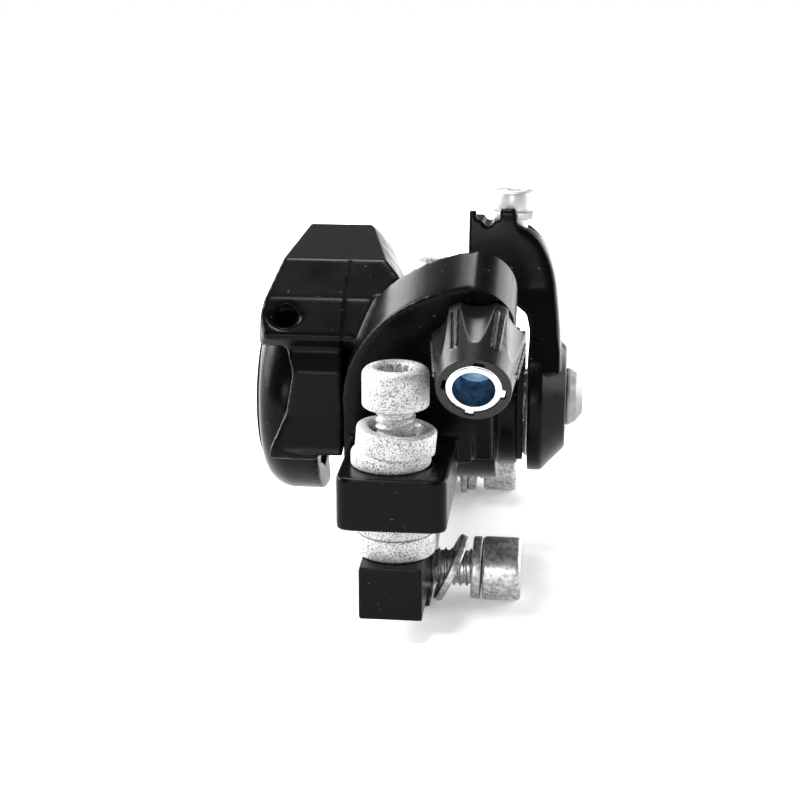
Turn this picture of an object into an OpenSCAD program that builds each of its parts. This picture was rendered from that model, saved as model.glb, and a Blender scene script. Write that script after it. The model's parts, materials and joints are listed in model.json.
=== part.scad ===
// Cable-operated disc brake caliper on its frame bracket.
// X points outboard, Y to the rear and Z up, away from the wheel axle.
// The origin lies on the bracket's frame face, midway between the two frame bolts.

/* [Bracket] */
// Distance between the two frame bolts
frame_bolt_spacing = 51; // [48:0.5:54]
// Distance between the two mount bolts
post_spacing = 74; // [72:0.5:78]
// Thickness of the bracket along X
bracket_t = 9.5; // [8.5:0.25:12]
// Distance from the frame face to the mount bolt axes
post_offset = 4.7; // [4:0.1:5.5]
// Height of the mount seats above the frame bolt axes
seat_z = 7.2; // [6.5:0.1:10]
// Depth of each mount seat along Y
seat_depth = 16; // [14:0.5:18]
// Radius of the bosses round the frame bolts
boss_r = 7; // [6:0.25:8]
// Radius of the two socket-head bolt threads
bolt_r = 2.95; // [2.9:0.01:3]
// Radius of the socket heads
head_r = 5; // [4.75:0.05:5.25]
// Height of the socket heads
head_h = 6; // [5:0.1:7]
// Width of the hexagonal sockets across flats
socket_af = 5; // [4:0.1:5.5]
// Gap left between the head of each mount bolt and its washers
loose_gap = 3.3; // [1:0.1:5]
// Length of the front frame bolt that stands out of the bracket
front_bolt_out = 8; // [7:0.25:12]
// Length of the rear frame bolt that stands out of the bracket
rear_bolt_out = 5.5; // [5:0.25:12]

/* [Ball washers] */
// Outer radius of the ball washers
washer_r = 6; // [5.5:0.1:6.5]
// Radius of the ball surface between each pair
ball_surface_r = 9; // [8:0.25:12]
// Rim height of the domed washers
cone_rim = 2; // [1.5:0.1:2.5]
// Rim height of the dished washers
cup_rim = 3.55; // [3:0.05:4.5]
// Tilt of the two upper dished washers
cup_tilt = 5; // [0:0.5:6]

/* [Castings] */
// Thickness of the two mounting ears
ear_t = 8.2; // [7.5:0.1:10]
// Width of the ears along X
ear_w = 16.4; // [15:0.2:18]
// Height of the piston axis above the underside of the ears
axis_rise = 8.2; // [7:0.1:11]
// Distance from the mount bolts inboard to the rotor plane
rotor_offset = 11.6; // [11:0.05:12]
// Width of the rotor slot
slot_w = 4.2; // [4.1:0.1:4.6]
// Half length of the two castings at their widest
body_half = 26; // [25.5:0.25:28]
// Height of the flat top above the piston axis
body_top = 25.8; // [25:0.1:27]
// Radius of the round boss on the inboard casting
boss_out_r = 16.7; // [16.4:0.1:17.2]
// Radius of the flange between barrel and seam
flange_r = 16.5; // [15.5:0.1:17]
// Radius of the outboard barrel
barrel_r = 14; // [13.5:0.1:15]
// Radius of the neck below the arm
neck_r = 11.5; // [11:0.1:12]
// Radius of the rotor that the caliper is made for
rotor_r = 80; // [70:1:90]
// Angle between the pads and the mounting ears
cant = 20.2; // [15:0.1:25]

/* [Pads] */
// Gap between the two pads
pad_gap = 2.7; // [2.2:0.1:3.2]
// Thickness of the friction blocks
friction_t = 3; // [2:0.1:3.2]
// Thickness of the backing plates
backing_t = 2; // [1.6:0.1:2.2]
// Half length of the backing plates
pad_half = 12; // [11:0.25:12.25]
// Half height of the friction blocks
friction_half_h = 7.3; // [6.5:0.1:7.6]

/* [Lever and cam] */
// Radius of the piston bore
bore_r = 10; // [9.5:0.05:10.5]
// Radius of the three ramp balls
ramp_ball_r = 2.5; // [2.2:0.05:2.6]
// Radius of the circle that the ramp balls run on
ramp_circle_r = 6.2; // [6:0.05:6.6]
// Turn of the arm from rest to full pull
arm_travel = 24; // [20:1:28]
// Axial travel of the piston over that turn
piston_travel = 1.3; // [1:0.1:1.5]
// Lean of the arm to the rear at rest
arm_lean = 4; // [2:0.5:8]
// Height of the cable clamp above the pivot
clamp_z = 29.9; // [28:0.1:32]
// Radius of the arm hub
hub_r = 12.5; // [12.2:0.1:13.5]
// Width of the square drive between cam shaft and arm
drive_af = 6.3; // [5.5:0.1:6.6]

/* [Barrel adjuster] */
// Downward tilt of the barrel adjuster
barrel_tilt = 21.5; // [18:0.5:25]
// Length of the ribbed knob
knob_len = 12.5; // [11:0.25:14]
// Radius of the knob at its front face
knob_front_r = 5.45; // [5.3:0.05:6]
// Radius of the knob at its back
knob_back_r = 7.05; // [6.5:0.05:7.3]
// Radius of the cable housing seat
seat_bore_r = 3.1; // [2.6:0.05:3.2]
// Depth of the cable housing seat
seat_bore_depth = 6; // [5:0.25:8]
// Radius of the adjuster screw thread
adjuster_screw_r = 3.9; // [3.7:0.05:4]
// Thickness of the cable stop wall
stop_t = 10; // [9:0.25:12]
// Radius of the curved outline of the cable stop wall
stop_r = 23.7; // [22.5:0.1:25]

/* [Pad adjuster] */
// Radius of the inboard adjuster knob
dial_r = 15; // [14:0.1:15.1]
// Thickness of the knob flange
dial_t = 2; // [1.8:0.1:2.4]
// Radius of the adjuster screw stem
stem_r = 5.5; // [5:0.1:6]

/* [Hidden] */
$fn = 72;

// Running clearance of a slide or a turning fit, and a larger one for loose pieces
run = 0.05;
loose = 0.3;
eps = 0.01;

// Where the main planes and axes lie
floor_z = -head_r;
post_x = -post_offset;
post_y = post_spacing / 2;
frame_y = frame_bolt_spacing / 2;
washer_stack = cone_rim + cup_rim + run;
ear_z0 = seat_z + washer_stack;
ear_z1 = ear_z0 + ear_t;
axis_z = ear_z0 + axis_rise;
rotor_x = post_x - rotor_offset;
seam_x = rotor_x + slot_w / 2;
slot_x = rotor_x - slot_w / 2;
seat_y0 = post_y - seat_depth / 2;
seat_y1 = post_y + seat_depth / 2;
mount_head_z = ear_z1 + washer_stack + loose_gap;

// Faces of the pads along X
out_face = rotor_x + pad_gap / 2;
out_back = out_face + friction_t;
out_foot = out_back + backing_t;
in_face = rotor_x - pad_gap / 2;
in_back = in_face - friction_t;
in_foot = in_back - backing_t;

// Stations of the cam mechanism along X, from the end wall inwards
wall_x1 = 12.3;
wall_t = 3;
wall_x0 = wall_x1 - wall_t;
bearing_t = 1.15;
drive_x1 = wall_x0 - bearing_t - 2 * run;
cam_t = 4.15;
drive_x0 = drive_x1 - cam_t;
cam_gap = 1.2;
ball_x = drive_x0 - cam_gap / 2;
press_x1 = drive_x0 - cam_gap;
press_x0 = press_x1 - cam_t;
cam_r = bore_r - 0.4;
shaft_r = 4.45;
barrel_x1 = 9;
flange_x1 = out_foot + 1;

// Arm and hub
hub_x0 = 14;
hub_rim_x = 16.2;
hub_x1 = 20.2;
hub_face_r = 8.4;
spring_pocket_r = 11.2;
spring_pocket_x = 17.2;
spring_r = 9.6;
spring_wire_r = 0.5;
seal_r = 10.8;

// Barrel adjuster: centre of the knob's front face
knob_x = 7.1;
knob_y = -post_y - 6;
knob_z = 34.4;
stop_s0 = knob_len + loose;
stop_s1 = stop_s0 + stop_t;
ring_r = 4.05;

// Inboard adjuster
foot_t = 1.5;
foot_x0 = in_foot - foot_t;
cavity_x = foot_x0 - 1.05;
cavity_r = 9.3;
cap_t = 3;
cap_x = cavity_x - cap_t;
boss_x1 = in_foot + 2.65;
boss_x0 = cap_x - 1.7;
boss_cone_x = boss_x0 + 3.9;
dial_x1 = cap_x - 0.2;
dial_x0 = dial_x1 - dial_t;
dial_hub_r = 8;
hub_end_x = cavity_x + 0.9;

// Colours as the photograph shows them
BLACK = [0.08, 0.08, 0.09];
PLASTIC = [0.14, 0.14, 0.15];
ZINC = [0.82, 0.82, 0.82];
STEEL = [0.62, 0.62, 0.64];

// A solid along X from x0 to x1
module rod(x0, x1, r, y = 0, z = 0) {
    translate([x0, y, z]) rotate([0, 90, 0]) cylinder(h = x1 - x0, r = r);
}

// A cone along X from radius r0 at x0 to r1 at x1
module cone_x(x0, x1, r0, r1) {
    translate([x0, 0, 0]) rotate([0, 90, 0]) cylinder(h = x1 - x0, r1 = r0, r2 = r1);
}

module pipe(x0, x1, r_out, r_in) {
    difference() {
        rod(x0, x1, r_out);
        rod(x0 - 1, x1 + 1, r_in);
    }
}

module box(x0, x1, y0, y1, z0, z1) {
    translate([x0, y0, z0]) cube([x1 - x0, y1 - y0, z1 - z0]);
}

// A Y-Z outline drawn as [y, z] points, swept along X
module sweep_x(x0, x1, outline) {
    translate([x0, 0, 0]) rotate([90, 0, 90]) linear_extrude(x1 - x0) polygon(outline);
}

// An X-Z outline drawn as [x, z] points, swept along Y
module sweep_y(y0, y1, outline) {
    translate([0, y1, 0]) rotate([90, 0, 0]) linear_extrude(y1 - y0) polygon(outline);
}

// The same outline on both sides of Y = 0
function both_sides(half) = concat(
    half, [for (i = [len(half) - 1 : -1 : 0]) [-half[i][0], half[i][1]]]);

function arc_points(cx, cy, r, a0, a1, n) =
    [for (i = [0 : n]) let (a = a0 + (a1 - a0) * i / n) [cx + r * cos(a), cy + r * sin(a)]];

// Frames: the piston axis, the canted pad frame and the barrel adjuster
module at_axis() { translate([0, 0, axis_z]) children(); }
module at_pads() { at_axis() rotate([cant, 0, 0]) children(); }
module at_arm() { at_axis() rotate([-arm_lean, 0, 0]) children(); }
module at_barrel() {
    translate([knob_x, knob_y, knob_z]) rotate([barrel_tilt - 90, 0, 0]) children();
}

// A socket-head bolt along Z, with its head on z = 0 and its thread below
module socket_bolt(r, length, r_head, h_head, af) {
    difference() {
        union() {
            translate([0, 0, -length + 0.6]) cylinder(h = length - 0.6, r = r);
            translate([0, 0, -length]) cylinder(h = 0.6, r1 = r - 0.5, r2 = r);
            cylinder(h = h_head - 0.5, r = r_head);
            translate([0, 0, h_head - 0.5]) cylinder(h = 0.5, r1 = r_head, r2 = r_head - 0.5);
        }
        translate([0, 0, h_head * 0.45])
            cylinder(h = h_head, r = af / 2 / cos(30), $fn = 6);
    }
}

module flat_washer(r_out, r_in, t) {
    difference() {
        cylinder(h = t, r = r_out, center = true);
        cylinder(h = t + 2, r = r_in, center = true);
    }
}

// A domed washer with its flat side on z = 0
module cone_washer(bore_gap = 0.35) {
    dome_z = cone_rim - sqrt(pow(ball_surface_r, 2) - pow(washer_r, 2));
    difference() {
        intersection() {
            cylinder(h = cone_rim + ball_surface_r, r = washer_r);
            union() {
                cylinder(h = cone_rim, r = washer_r);
                translate([0, 0, dome_z]) sphere(r = ball_surface_r);
            }
        }
        translate([0, 0, -20]) cylinder(h = 20, r = 20);
        translate([0, 0, -1]) cylinder(h = 20, r = bolt_r + bore_gap);
    }
}

// A dished washer over a domed one that stands on z = 0, tilted about the ball's centre
module cup_washer(tilt) {
    centre_z = cone_rim - sqrt(pow(ball_surface_r, 2) - pow(washer_r, 2));
    translate([0, 0, centre_z]) rotate([0, tilt, 0]) translate([0, 0, -centre_z])
        difference() {
            translate([0, 0, cone_rim * 0.5])
                cylinder(h = cone_rim * 0.5 + cup_rim + run, r = washer_r);
            translate([0, 0, centre_z]) sphere(r = ball_surface_r + run);
            cylinder(h = 20, r = bolt_r + 1.2);
        }
}

module at_post(side) { translate([post_x, side * post_y, 0]) children(); }

module mount_bolt(side) {
    color(ZINC) at_post(side) translate([0, 0, mount_head_z])
        socket_bolt(bolt_r, mount_head_z - 0.2, head_r, head_h, socket_af);
}

// The front pair has slipped a little inboard, because its bolt isn't tight
function upper_slip(side) = side < 0 ? 0.7 : 0;

module upper_cone_washer(side) {
    color(ZINC) at_post(side) translate([-upper_slip(side), 0, ear_z1])
        cone_washer(0.35 + 0.65 * upper_slip(side));
}

module upper_cup_washer(side) {
    color(ZINC) at_post(side) translate([-upper_slip(side), 0, ear_z1]) cup_washer(cup_tilt);
}

module lower_cone_washer(side) {
    color(ZINC) at_post(side) translate([0, 0, ear_z0]) mirror([0, 0, 1]) cone_washer();
}

module lower_cup_washer(side) {
    color(ZINC) at_post(side) translate([0, 0, ear_z0]) mirror([0, 0, 1]) cup_washer(0);
}

function bolt_out(side) = side < 0 ? front_bolt_out : rear_bolt_out;

module frame_bolt(side) {
    color(STEEL) translate([bolt_out(side), side * frame_y, 0]) rotate([0, 90, 0])
        socket_bolt(bolt_r, bolt_out(side) + bracket_t - 1, head_r, head_h, socket_af);
}

// The loose washers on each frame bolt, with the tilt at which they came to rest
thin_t = 1.2;
thin_r = 5.6;
thick_t = 1.5;
thick_r = head_r - 0.06;
thick_tilt = 2;
function thin_tilt(side) = side < 0 ? 24 : 2;
function thin_bore_r(side) = bolt_r + (side < 0 ? 0.78 : 0.3);
// Reach of a tilted washer along the bolt, from its middle
function washer_reach(r, t, tilt) = r * sin(tilt) + t / 2 * cos(tilt);

module thin_washer(side) {
    // The front one leans on the bracket, and the rear one hangs on its bolt
    x = side < 0 ? washer_reach(thin_r, thin_t, thin_tilt(side)) + run : 2;
    color(STEEL) translate([x, side * frame_y, side < 0 ? -0.18 : -0.22])
        rotate([0, 90 + thin_tilt(side), 0]) flat_washer(thin_r, thin_bore_r(side), thin_t);
}

module thick_washer(side) {
    // The front one lies against the head, and the rear one against the thin washer
    x = side < 0 ? bolt_out(side) - washer_reach(thick_r, thick_t, thick_tilt) - run
        : 2 + thin_t / 2 + thick_t / 2 + run;
    color(STEEL) translate([x, side * frame_y, side < 0 ? 0 : -0.22])
        rotate([0, 90 + thick_tilt, 0]) flat_washer(thick_r, bolt_r + 0.3, thick_t);
}

module adapter_bracket() {
    web_top = 5.2;
    arch_h = 6.6;
    arch_half = frame_y - boss_r + 1;
    arch_r = (pow(arch_half, 2) + pow(arch_h, 2)) / (2 * arch_h);
    color(BLACK) difference() {
        union() {
            for (side = [-1, 1]) {
                box(-bracket_t, 0, min(side * seat_y0, side * seat_y1),
                    max(side * seat_y0, side * seat_y1), -1, seat_z);
                // Neck between a frame boss and its seat
                box(-bracket_t, 0, min(side * frame_y, side * (seat_y0 + 0.5)),
                    max(side * frame_y, side * (seat_y0 + 0.5)), -1, web_top - 0.5);
                rod(-bracket_t, 0, boss_r, side * frame_y, 0);
            }
            box(-bracket_t, 0, -frame_y, frame_y, floor_z, web_top);
        }
        rod(-bracket_t - 1, 1, arch_r, 0, floor_z + arch_h - arch_r);
        // Hollow that clears the round flange of the outboard casting
        rod(-bracket_t - 1, 1, flange_r + 0.4, 0, axis_z);
        box(-bracket_t - 1, 1, -60, 60, floor_z - 20, floor_z);
        for (side = [-1, 1]) {
            at_post(side) translate([0, 0, -10]) cylinder(h = 40, r = bolt_r + run);
            rod(-bracket_t - 1, 1, bolt_r + run, side * frame_y, 0);
        }
    }
}

// Outline of the bridge over the rotor, above the ledge
ledge_z = 15.9;
bridge_half = both_sides([
    [14.5, body_top], [body_half - 4, body_top - 4.5], [body_half, ledge_z],
    [body_half - 2, ledge_z - 2]]);

// Plan outline that narrows a casting towards its ends, kept from the taper to x_far
module plan_taper(x_mid, x_end, x_far) {
    translate([0, 0, -60]) linear_extrude(160) polygon([
        [x_far, -body_half - 1], [x_end, -body_half - 1], [x_end, -body_half], [x_mid, -15],
        [x_mid, 15], [x_end, body_half], [x_end, body_half + 1], [x_far, body_half + 1]]);
}

module rotor_path(x0, x1, clearance) {
    radial = rotor_r - 7.5;
    rod(x0, x1, rotor_r + clearance, radial * sin(cant), -radial * cos(cant));
}

// The outline of a pad plate, grown by a margin, with its four corners cut at 45 degrees
pad_low = -8.5;
pad_high = 8.2;
pad_corner = 3;
tab_half = 3.5;
function pad_points(m) = both_sides([
    [pad_half - pad_corner + 0.414 * m, pad_high + m],
    [pad_half + m, pad_high - pad_corner + 0.414 * m],
    [pad_half + m, pad_low + pad_corner - 0.414 * m],
    [pad_half - pad_corner + 0.414 * m, pad_low - m]]);

// The space for both pads and their spring, in the canted pad frame
spring_top = pad_high + 1;
module pad_chamber() {
    rotate([cant, 0, 0]) {
        sweep_x(in_foot - run, out_foot + 0.1, pad_points(loose));
        box(in_back, out_back, -pad_half - loose, pad_half + loose, 0, spring_top + loose);
        box(in_foot - run, out_foot + 0.1, -tab_half - loose, tab_half + loose,
            -flange_r - 3, 0);
    }
}

// Housing bolts, from the inboard side into the outboard casting
housing_bolt_y = 11;
housing_bolt_z = 18.5;
housing_bolt_r = 2.45;
housing_head_r = 4.25;
housing_head_h = 5;
housing_seat_x = slot_x - 2;
housing_bolt_len = 9.5;

module inboard_housing() {
    left = [[-24.9, body_top], [-26.9, body_top - 5.3], [-27.6, ledge_z - 0.5]];
    waist = [[-24.0, ledge_z + 0.5], [-22.0, 9.9], [-23.4, 3], [-25.9, -2.7], [-26.2, -4.4]];
    rib = both_sides([[body_half - 3.5, ledge_z + 1], [body_half - 0.5, 9.9],
                      [body_half - 2, 3], [body_half, -2.7], [body_half - 1, -4.4]]);
    hole_y = -23.2;
    hole_z = 18.5;
    color(BLACK) at_axis() difference() {
        union() {
            intersection() {
                sweep_x(-32, seam_x, bridge_half);
                sweep_y(-40, 40, concat([[seam_x, ledge_z - 3], [seam_x, body_top + 1]],
                                        left, [[-27.6, ledge_z - 3]]));
                plan_taper(-31, -26.1, 0);
            }
            intersection() {
                sweep_x(-32, seam_x, rib);
                sweep_y(-40, 40, concat([[seam_x, -6], [seam_x, ledge_z + 0.5]], waist,
                                        [[-26.2, -6]]));
            }
            rod(boss_cone_x, boss_x1, boss_out_r);
            cone_x(boss_x0, boss_cone_x, boss_out_r - 1.1, boss_out_r);
        }
        // Recess for the flange of the dial
        rod(boss_x0 - 4, cap_x, dial_r + 0.2);
        rotor_path(slot_x, seam_x + 1, 1.5);
        pad_chamber();
        // The adjuster's foot slides out of this bore as it takes up wear
        rod(cavity_x, in_foot + 1.3, cavity_r);
        rod(cap_x - 1, cavity_x + 1, dial_hub_r + run);
        for (side = [-1, 1]) {
            rod(-32, seam_x + 1, housing_bolt_r + 0.2, side * housing_bolt_y, housing_bolt_z);
            rod(-35, housing_seat_x, housing_head_r + 0.15, side * housing_bolt_y,
                housing_bolt_z);
        }
        // Tapped hole in the sloping front face, with its countersink
        translate([-23.2, hole_y, hole_z]) rotate([43, 0, 0]) {
            translate([0, 0, -4.5]) cylinder(h = 8, r = 1.4);
            translate([0, 0, -0.7]) cylinder(h = 1.4, r1 = 1.4, r2 = 2.8);
        }
    }
}

module housing_bolt(side) {
    color(STEEL) at_axis() translate([housing_seat_x, side * housing_bolt_y, housing_bolt_z])
        rotate([0, -90, 0])
        socket_bolt(housing_bolt_r, housing_bolt_len, housing_head_r, housing_head_h, 4);
}

// Outline of the cable stop wall in the plane across the barrel axis
stop_left = -14.2;
stop_cx = stop_left + stop_r;
stop_right = 12.4;
stop_corner_r = 4.5;
stop_cw = 9 - stop_r;
stop_top = stop_cw + stop_r;

module stop_outline() {
    corner_x = stop_right - stop_corner_r;
    intersection() {
        translate([stop_cx, stop_cw]) circle(r = stop_r);
        translate([stop_left, stop_cw]) square([corner_x - stop_left, stop_r]);
    }
    translate([corner_x, stop_top - stop_corner_r]) circle(r = stop_corner_r);
    polygon([[stop_left, -24], [stop_left, stop_cw], [corner_x - eps, stop_cw],
             [corner_x - eps, stop_top - 1], [corner_x, stop_top - stop_corner_r],
             [stop_right, stop_top - stop_corner_r], [stop_right, -2], [9, -11], [9, -24]]);
}

module cable_stop() {
    at_barrel() translate([-knob_x, 0, stop_s0]) mirror([0, 1, 0])
        linear_extrude(stop_t) stop_outline();
}

module ear(side) {
    corner = 2;
    x0 = post_x - ear_w / 2;
    x1 = post_x + ear_w / 2;
    y0 = 12;
    y1 = seat_y1;
    mirror([0, side < 0 ? 1 : 0, 0]) difference() {
        union() {
            box(x0, x1, y0, y1 - corner, ear_z0, ear_z1);
            box(x0 + corner, x1 - corner, y0, y1, ear_z0, ear_z1);
            for (x = [x0 + corner, x1 - corner])
                translate([x, y1 - corner, ear_z0]) cylinder(h = ear_t, r = corner);
        }
    }
}

// The slotted hole in each ear
module ear_slot(side) {
    travel = 2;
    at_post(side) {
        for (x = [-travel, travel])
            translate([x, 0, ear_z0 - 1]) cylinder(h = ear_t + 2, r = bolt_r + 0.45);
        translate([-travel, -bolt_r - 0.45, ear_z0 - 1])
            cube([2 * travel, 2 * bolt_r + 0.9, ear_t + 2]);
    }
}

module outboard_housing() {
    // The right side of the bridge, which runs askew to the rotor in plan
    skew = 10.7;
    skew_x = -11.35;
    right = [[skew_x, body_top], [skew_x + 1.75, body_top - 1.9], [-7.6, 21], [-6, 17],
             [-5.4, ledge_z - 3]];
    color(BLACK) difference() {
        union() {
            at_axis() {
                intersection() {
                    sweep_x(seam_x, 0, bridge_half);
                    translate([skew_x, 0, 0]) rotate([0, 0, skew]) translate([-skew_x, 0, 0])
                        sweep_y(-40, 40, concat([[-40, ledge_z - 3], [-40, body_top + 1],
                                                 [skew_x, body_top + 1]], right));
                    plan_taper(-4, -11, -40);
                }
                // Body between the bridge and the round chamber
                box(seam_x, -4, -19, 19, -4.4, ledge_z);
                rod(seam_x, flange_x1, flange_r);
                rod(seam_x, barrel_x1, barrel_r);
                rod(barrel_x1 - 1, wall_x1, neck_r);
            }
            cable_stop();
            // Root of the cable stop wall
            box(seam_x, 6, -25, -10, ear_z1 - 4, axis_z + 9);
            ear(1);
            ear(-1);
        }
        at_axis() {
            pad_chamber();
            rod(out_foot - piston_travel - 0.3, wall_x0, bore_r);
            rod(0, wall_x1 + 1, shaft_r + run);
            for (side = [-1, 1])
                rod(seam_x - 1, housing_seat_x + housing_bolt_len + 0.3, housing_bolt_r + run,
                    side * housing_bolt_y, housing_bolt_z);
            // Keyway that stops the pressure cam from turning
            box(out_foot + 1, drive_x0, -1.55, 1.55, 0, bore_r + 1.2);
            // Hole for the fixed leg of the return spring
            rotate([-arm_lean, 0, 0])
                rod(wall_x1 - 2, wall_x1 + 1, spring_wire_r + 0.15, 0, -spring_r);
        }
        ear_slot(1);
        ear_slot(-1);
        at_barrel() translate([0, 0, stop_s0 - 2])
            cylinder(h = stop_t + 8, r = adjuster_screw_r + 0.08);
    }
}

// The ribbed knob: a tapered body with six scallops and a rib pair on each crest
module barrel_knob() {
    lobes = 6;
    scallop_r = 5.2;
    scallop_depth = 1.2;
    // Where the tapered body has grown out to the scallops
    scallop_z = knob_len * (knob_back_r - scallop_depth - knob_front_r)
        / (knob_back_r - knob_front_r) + 0.4;
    rib_w = 0.35;
    color(PLASTIC) at_barrel() difference() {
        union() {
            cylinder(h = knob_len, r1 = knob_front_r, r2 = knob_back_r);
            for (i = [0 : lobes - 1], d = [-1, 1])
                rotate([0, 0, i * 360 / lobes + d * 4.5])
                    translate([0, 0, knob_len * 0.32])
                    rotate([0, atan((knob_back_r - knob_front_r) / knob_len), 0])
                    translate([knob_front_r + 0.25, -rib_w / 2, 0])
                    cube([0.55, rib_w, knob_len * 0.6]);
        }
        for (i = [0 : lobes - 1])
            rotate([0, 0, (i + 0.5) * 360 / lobes])
                translate([knob_back_r + scallop_r - scallop_depth, 0, scallop_z])
                cylinder(h = knob_len, r = scallop_r);
        translate([0, 0, -1]) cylinder(h = knob_len + 2, r = ring_r + run);
        // Seat of the seal in the back face
        translate([0, 0, knob_len - 1.5]) cylinder(h = 2, r = 5.6);
        // Four key slots round the front of the insert
        for (i = [0 : 3])
            rotate([0, 0, 10 + i * 90]) translate([ring_r - 0.2, -0.8, -1]) cube([0.85, 1.6, 3]);
    }
}

// The threaded screw that seats the cable housing
module barrel_screw() {
    color(ZINC) at_barrel() difference() {
        union() {
            translate([0, 0, 0.2]) cylinder(h = knob_len - 1.8, r = ring_r);
            cylinder(h = stop_s1 + 3, r = adjuster_screw_r);
            for (i = [0 : 1])
                rotate([0, 0, 10 + i * 90]) translate([ring_r - 0.3, -0.65, 0.2])
                    cube([0.8, 1.3, 1.6]);
        }
        translate([0, 0, -1]) cylinder(h = seat_bore_depth + 1, r = seat_bore_r);
        translate([0, 0, 1]) cylinder(h = 40, r = 1.3);
    }
}

module barrel_seal() {
    color([0.05, 0.05, 0.05]) at_barrel() translate([0, 0, knob_len - 0.62])
        rotate_extrude() translate([adjuster_screw_r + run + 0.75, 0]) circle(r = 0.7, $fn = 24);
}

// The arm, drawn upright about its pivot
arm_outline = [
    [-10.5, 6], [-5.4, 19], [-4.6, clamp_z], [4.6, clamp_z], [5.4, 19], [10.5, 6]];
clamp_x0 = 3.7;
groove_x0 = 4.9;
groove_x1 = 8.7;
bolt_x = 10.7;
clamp_bolt_r = 2.45;

module actuating_arm() {
    under_z = clamp_z - 8.4;
    // Outer side of the arm from its top, and the hollow side back up to the clamp
    outer = [[10, 0], [11, -0.3], [12, -0.8], [13.3, -1.45], [14.5, -2.3], [15.45, -3.25], [16.2, -4.4],
             [16.85, -5.7], [17.4, -7.1], [17.8, -8.6], [18.1, -10.1], [18.6, -13.9], [19, -18.2]];
    hollow = [[hub_x0, 12.6], [13.4, 15], [11, 16.8], [7, 20]];
    color(BLACK) at_arm() difference() {
        union() {
            intersection() {
                sweep_x(0, 30, arm_outline);
                sweep_y(-20, 20, concat(
                    [[hub_x0, 0]], hollow, [[clamp_x0, under_z], [clamp_x0, clamp_z]],
                    [for (p = outer) [p[0], clamp_z + p[1]]], [[19.2, 6], [19.2, 0]]));
            }
            rod(hub_x0, hub_rim_x, hub_r);
            cone_x(hub_rim_x, hub_x1, hub_r, hub_face_r);
            // Two upstands that keep the cable in its groove
            box(clamp_x0, groove_x0, -4.6, -3.1, clamp_z - 1, clamp_z + 1.5);
            box(groove_x1, groove_x1 + 2.8, -4.6, -3.1, clamp_z - 1, clamp_z + 1.2);
            rod(groove_x1, groove_x1 + 2.8, 0.75, -3.85, clamp_z + 1.2);
        }
        pipe(hub_x0 - 1, spring_pocket_x, spring_pocket_r, drive_af * 0.72 + 1.9);
        box(hub_x0 - 1, 19.1, -drive_af / 2 - run, drive_af / 2 + run,
            -drive_af / 2 - run, drive_af / 2 + run);
        rod(0, 30, 2.6);
        // Cable groove and the tapped hole of the clamp bolt
        translate([(groove_x0 + groove_x1) / 2, -10, clamp_z]) rotate([-90, 0, 0])
            cylinder(h = 20, r = 0.9);
        translate([bolt_x, 0.8, under_z - 1]) cylinder(h = 20, r = clamp_bolt_r + run);
        // Hole for the moving leg of the return spring
        rod(spring_pocket_x - 1, spring_pocket_x + 1.6, spring_wire_r + 0.15, 0, spring_r);
    }
}

// A button-head bolt: its domed head is an arc turned about the axis
module arm_pivot_bolt() {
    head_h = 2.8;
    head_r = 4.8;
    rim_h = 0.5;
    dome_r = (pow(head_r, 2) + pow(head_h - rim_h, 2)) / (2 * (head_h - rim_h));
    edge = asin((head_r - 1) / dome_r);
    color(ZINC) at_arm() difference() {
        union() {
            rod(hub_x1 - 9, hub_x1, 2.5);
            translate([hub_x1, 0, 0]) rotate([0, 90, 0]) cylinder(h = rim_h, r = head_r);
            translate([hub_x1 + rim_h, 0, 0]) rotate([0, 90, 0])
                cylinder(h = 1.2, r1 = head_r, r2 = head_r - 0.7);
            translate([hub_x1 + rim_h + 1.2, 0, 0]) rotate([0, 90, 0])
                cylinder(h = head_h - rim_h - 1.2, r1 = head_r - 0.7, r2 = head_r - 2.1);
        }
        translate([hub_x1 + 1, 0, 0]) rotate([0, 90, 0])
            cylinder(h = 5, r = 3 / 2 / cos(30), $fn = 6);
    }
}

plate_t = 1.1;
module cable_clamp_plate() {
    color(ZINC) at_arm() difference() {
        box(groove_x1 - 0.7, 14, -2.9, 4.5, clamp_z, clamp_z + plate_t);
        translate([bolt_x, 0.8, clamp_z - 1]) cylinder(h = 4, r = clamp_bolt_r + 0.15);
    }
}

module cable_clamp_bolt() {
    color(ZINC) at_arm() translate([bolt_x, 0.8, clamp_z + plate_t])
        socket_bolt(clamp_bolt_r, 8, 3.6, 3.5, 4);
}

// Torsion spring between the end wall and the arm. Its coil is a chain of half rings, each
// tilted so that it climbs half a pitch, and a straight leg stands on each end.
spring_half_turns = 5;
spring_x0 = hub_x0 - 0.2;
spring_x1 = spring_pocket_x - 0.6;

module spring_half_turn(i) {
    climb = (spring_x1 - spring_x0) / spring_half_turns;
    lean = atan2(climb / 2, spring_r);
    side = i % 2 == 0 ? 1 : -1;
    translate([spring_x0 + climb * (i + 0.5), 0, 0])
        rotate([0, side * lean, 0]) rotate([side < 0 ? 0 : 180, 0, 0])
        rotate([0, 90, 0]) rotate_extrude(angle = 180)
        translate([spring_r / cos(lean), 0]) circle(r = spring_wire_r, $fn = 24);
}

module return_spring() {
    leg_r = spring_wire_r - 0.05;
    color(STEEL) at_arm() union() {
        for (i = [0 : spring_half_turns - 1]) spring_half_turn(i);
        rod(wall_x1 - 1.4, spring_x0 + 0.3, leg_r, 0, -spring_r);
        rod(spring_x1 - 0.3, spring_pocket_x + 1.2, leg_r, 0, spring_r);
    }
}

module dust_seal() {
    color([0.06, 0.06, 0.06]) at_arm() difference() {
        pipe(wall_x1 + run, hub_x0 - 0.9, seal_r, shaft_r + 0.1);
        // Slot that lets the fixed leg of the spring through
        box(wall_x1, hub_x0, -spring_wire_r - 0.2, spring_wire_r + 0.2, -seal_r - 1,
            1 - spring_r);
    }
}

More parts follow.
